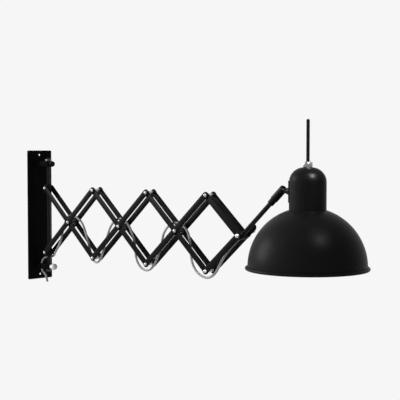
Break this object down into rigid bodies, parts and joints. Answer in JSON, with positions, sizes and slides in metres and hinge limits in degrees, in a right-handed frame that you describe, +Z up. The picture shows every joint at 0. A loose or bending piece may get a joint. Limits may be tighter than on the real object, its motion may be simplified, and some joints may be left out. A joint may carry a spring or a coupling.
{
  "type": "accordion wall lamp",
  "caption": "Wall lamp whose scissor arm of flat bars folds and extends along a wall plate and carries a domed metal shade on a ball joint.",
  "frame": {"origin": "centre of the wall plate's back face, midway between its two screw holes", "axes": "+X out of the wall along the arm, +Z up, +Y along the wall"},
  "size_m": [0.8896, 0.2174, 0.3507],
  "materials": {
    "black_steel": "satin black powder coat",
    "zinc_steel": "bright zinc plate",
    "chrome": "polished",
    "black_plastic": "moulded",
    "gloss_black": "polished ball",
    "pale_plastic": "moulded",
    "textile": "braided grey sleeve",
    "bulb_glass": "clear",
    "bulb_metal": "nickel plate"
  },
  "bodies": {
    "root": {"wall_plate": "black_steel", "rod_lugs": "black_steel", "guide_rod": "black_steel", "rod_nuts": "black_steel", "cable_tail": "textile"},
    "top_knob": {"top_knob": "gloss_black"},
    "bottom_knob": {"bottom_knob": "pale_plastic"},
    "swing": {"swing_sleeve": "black_steel", "swing_screws": "zinc_steel", "cable_foot": "textile"},
    "slide": {"slide_sleeve": "black_steel", "slide_screws": "zinc_steel"},
    "rise_1": {"rise_bar_front_1": "black_steel", "rise_bar_back_1": "black_steel", "pivot_bolts_1": "zinc_steel", "pivot_spacers_1": "zinc_steel", "cable_spool_1": "black_plastic", "cable_over_1": "textile"},
    "fall_1": {"fall_bar_front_1": "black_steel", "fall_bar_back_1": "black_steel", "cable_loop_1": "textile"},
    "rise_2": {"rise_bar_front_2": "black_steel", "rise_bar_back_2": "black_steel", "pivot_bolts_2": "zinc_steel", "pivot_spacers_2": "zinc_steel", "cable_spool_2": "black_plastic", "cable_over_2": "textile"},
    "fall_2": {"fall_bar_front_2": "black_steel", "fall_bar_back_2": "black_steel", "cable_loop_2": "textile"},
    "rise_3": {"rise_bar_front_3": "black_steel", "rise_bar_back_3": "black_steel", "pivot_bolts_3": "zinc_steel", "pivot_spacers_3": "zinc_steel", "cable_spool_3": "black_plastic", "cable_over_3": "textile"},
    "fall_3": {"fall_bar_front_3": "black_steel", "fall_bar_back_3": "black_steel", "cable_loop_3": "textile"},
    "rise_4": {"rise_bar_front_4": "black_steel", "rise_bar_back_4": "black_steel", "pivot_bolts_4": "zinc_steel", "pivot_spacers_4": "zinc_steel", "cable_entry": "textile"},
    "fall_4": {"fall_bar_front_4": "black_steel", "fall_bar_back_4": "black_steel"},
    "arm": {"arm_hub": "black_steel", "arm_tube": "black_steel"},
    "wing_nut": {"wing_nut": "zinc_steel"},
    "socket": {"ball_socket": "black_steel"},
    "stud": {"ball_stud": "black_steel"},
    "shade": {"shade_neck": "black_steel", "shade_dome": "black_steel", "saddle_plate": "black_steel", "saddle_screws": "black_steel", "crown_nut": "chrome", "handle_rod": "black_steel", "lampholder": "black_plastic", "bulb_glass": "bulb_glass", "bulb_cap": "bulb_metal"}
  },
  "joints": [
    {"name": "arm_swing", "type": "hinge", "parent": "root", "child": "swing", "pos_m": [0.035, 0, -0.083], "axis": [0, 0, 1], "range_deg": [-80, 80], "deforming": ["cable_tail"]},
    {"name": "scissor_fold", "type": "hinge", "parent": "swing", "child": "rise_1", "pos_m": [0.035, 0, -0.083], "axis": [0, -1, 0], "range_deg": [-15.4, 14.5], "deforming": ["cable_foot"]},
    {"name": "cross_1", "type": "hinge", "parent": "rise_1", "child": "fall_1", "pos_m": [0.11948, 0, -0.011], "axis": [0, -1, 0], "range_deg": [-30, 31.5], "deforming": ["cable_over_1"]},
    {"name": "lower_1", "type": "hinge", "parent": "fall_1", "child": "rise_2", "pos_m": [0.20396, 0, -0.083], "axis": [0, -1, 0], "range_deg": [-31.5, 30], "deforming": ["cable_loop_1"]},
    {"name": "cross_2", "type": "hinge", "parent": "rise_2", "child": "fall_2", "pos_m": [0.28844, 0, -0.011], "axis": [0, -1, 0], "range_deg": [-30, 31.5], "deforming": ["cable_over_2"]},
    {"name": "lower_2", "type": "hinge", "parent": "fall_2", "child": "rise_3", "pos_m": [0.37292, 0, -0.083], "axis": [0, -1, 0], "range_deg": [-31.5, 30], "deforming": ["cable_loop_2"]},
    {"name": "cross_3", "type": "hinge", "parent": "rise_3", "child": "fall_3", "pos_m": [0.4574, 0, -0.011], "axis": [0, -1, 0], "range_deg": [-30, 31.5], "deforming": ["cable_over_3"]},
    {"name": "lower_3", "type": "hinge", "parent": "fall_3", "child": "rise_4", "pos_m": [0.54188, 0, -0.083], "axis": [0, -1, 0], "range_deg": [-31.5, 30], "deforming": ["cable_loop_3"]},
    {"name": "cross_4", "type": "hinge", "parent": "rise_4", "child": "fall_4", "pos_m": [0.62636, 0, -0.011], "axis": [0, -1, 0], "range_deg": [-30, 31.5]},
    {"name": "slide_pivot", "type": "hinge", "parent": "fall_1", "child": "slide", "pos_m": [0.035, 0, 0.061], "axis": [0, -1, 0], "range_deg": [-16, 15.5]},
    {"name": "arm_tilt", "type": "hinge", "parent": "rise_4", "child": "arm", "pos_m": [0.62636, 0, -0.011], "axis": [0, -1, 0], "range_deg": [-60, 45], "deforming": ["cable_entry"]},
    {"name": "wing_nut_turn", "type": "hinge", "parent": "rise_4", "child": "wing_nut", "pos_m": [0.62636, 0, -0.011], "axis": [0, 1, 0], "continuous": true},
    {"name": "top_knob_turn", "type": "hinge", "parent": "root", "child": "top_knob", "pos_m": [0.035, 0, 0.115], "axis": [1, 0, 0], "continuous": true},
    {"name": "bottom_knob_turn", "type": "hinge", "parent": "root", "child": "bottom_knob", "pos_m": [0.035, 0, -0.115], "axis": [1, 0, 0], "continuous": true},
    {"name": "socket_swivel", "type": "hinge", "parent": "arm", "child": "socket", "pos_m": [0.72156, 0, 0.07382], "axis": [0.7466, 0, 0.6652], "range_deg": [-90, 90]},
    {"name": "ball_tilt", "type": "hinge", "parent": "socket", "child": "stud", "pos_m": [0.72156, 0, 0.07382], "axis": [0, -1, 0], "range_deg": [-13, 33]},
    {"name": "shade_roll", "type": "hinge", "parent": "stud", "child": "shade", "pos_m": [0.72156, 0, 0.07382], "axis": [1, 0, 0], "range_deg": [-90, 90]}
  ],
  "couplings": [
    {"joint": "cross_1", "follows": "scissor_fold", "ratio": -2},
    {"joint": "lower_1", "follows": "scissor_fold", "ratio": 2},
    {"joint": "cross_2", "follows": "scissor_fold", "ratio": -2},
    {"joint": "lower_2", "follows": "scissor_fold", "ratio": 2},
    {"joint": "cross_3", "follows": "scissor_fold", "ratio": -2},
    {"joint": "lower_3", "follows": "scissor_fold", "ratio": 2},
    {"joint": "cross_4", "follows": "scissor_fold", "ratio": -2},
    {"joint": "slide_pivot", "follows": "scissor_fold", "ratio": 1}
  ]
}
